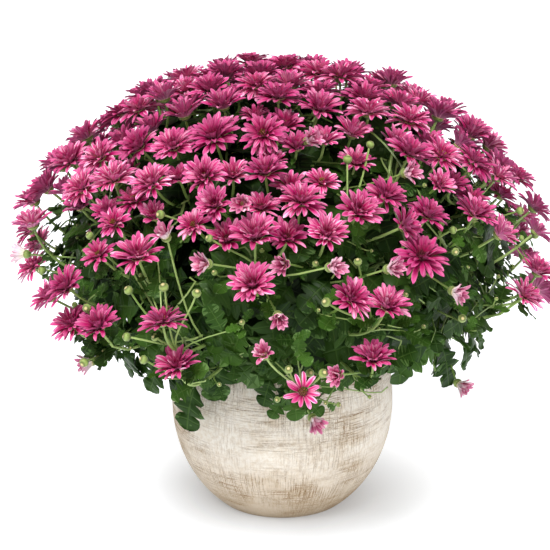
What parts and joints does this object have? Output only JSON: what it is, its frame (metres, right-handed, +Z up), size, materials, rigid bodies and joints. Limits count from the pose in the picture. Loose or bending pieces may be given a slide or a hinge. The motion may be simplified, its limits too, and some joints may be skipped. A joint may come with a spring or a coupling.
{
  "type": "pot chrysanthemum",
  "caption": "Pot chrysanthemum: leafy plants with a dome of daisy-like flower heads, rooted in soil in a bowl-shaped ceramic planter with a flat foot.",
  "frame": {"origin": "centre of the pot's foot, on the surface that it stands on", "axes": "+Z up along the pot's axis; -Y is the front shown in the picture, +X is its right"},
  "size_m": [0.5193, 0.5229, 0.4415],
  "materials": {
    "pot": "matt whitewash scraped crosswise over brown clay",
    "soil": "loose moist potting compost",
    "leaves": "matt green leaves and stems",
    "petals": "soft magenta pink petals, paler at the tips"
  },
  "bodies": {
    "root": {"blooms_back_01": "petals", "blooms_back_02": "petals", "blooms_back_03": "petals", "blooms_back_04": "petals", "blooms_back_05": "petals", "blooms_back_06": "petals", "blooms_back_07": "petals", "blooms_crown_01": "petals", "blooms_crown_02": "petals", "blooms_crown_03": "petals", "blooms_crown_04": "petals", "blooms_crown_05": "petals", "blooms_crown_06": "petals", "blooms_crown_07": "petals", "blooms_crown_08": "petals", "blooms_crown_09": "petals", "blooms_crown_10": "petals", "blooms_crown_11": "petals", "blooms_crown_12": "petals", "blooms_crown_13": "petals", "blooms_crown_14": "petals", "blooms_crown_15": "petals", "blooms_crown_16": "petals", "blooms_crown_17": "petals", "blooms_flank_01": "petals", "blooms_flank_02": "petals", "blooms_flank_03": "petals", "blooms_flank_04": "petals", "blooms_flank_05": "petals", "blooms_flank_06": "petals", "blooms_flank_07": "petals", "blooms_flank_08": "petals", "blooms_flank_09": "petals", "blooms_flank_10": "petals", "blooms_flank_11": "petals", "blooms_flank_12": "petals", "blooms_flank_13": "petals", "blooms_flank_14": "petals", "blooms_flank_15": "petals", "blooms_flank_16": "petals", "blooms_flank_17": "petals", "blooms_flank_18": "petals", "blooms_flank_19": "petals", "blooms_flank_20": "petals", "blooms_flank_21": "petals", "blooms_flank_22": "petals", "blooms_flank_23": "petals", "plant_back_left": "leaves", "plant_back_right": "leaves", "plant_front": "leaves", "plant_left": "leaves", "plant_right": "leaves", "pot": "pot", "soil": "soil"}
  },
  "joints": []
}
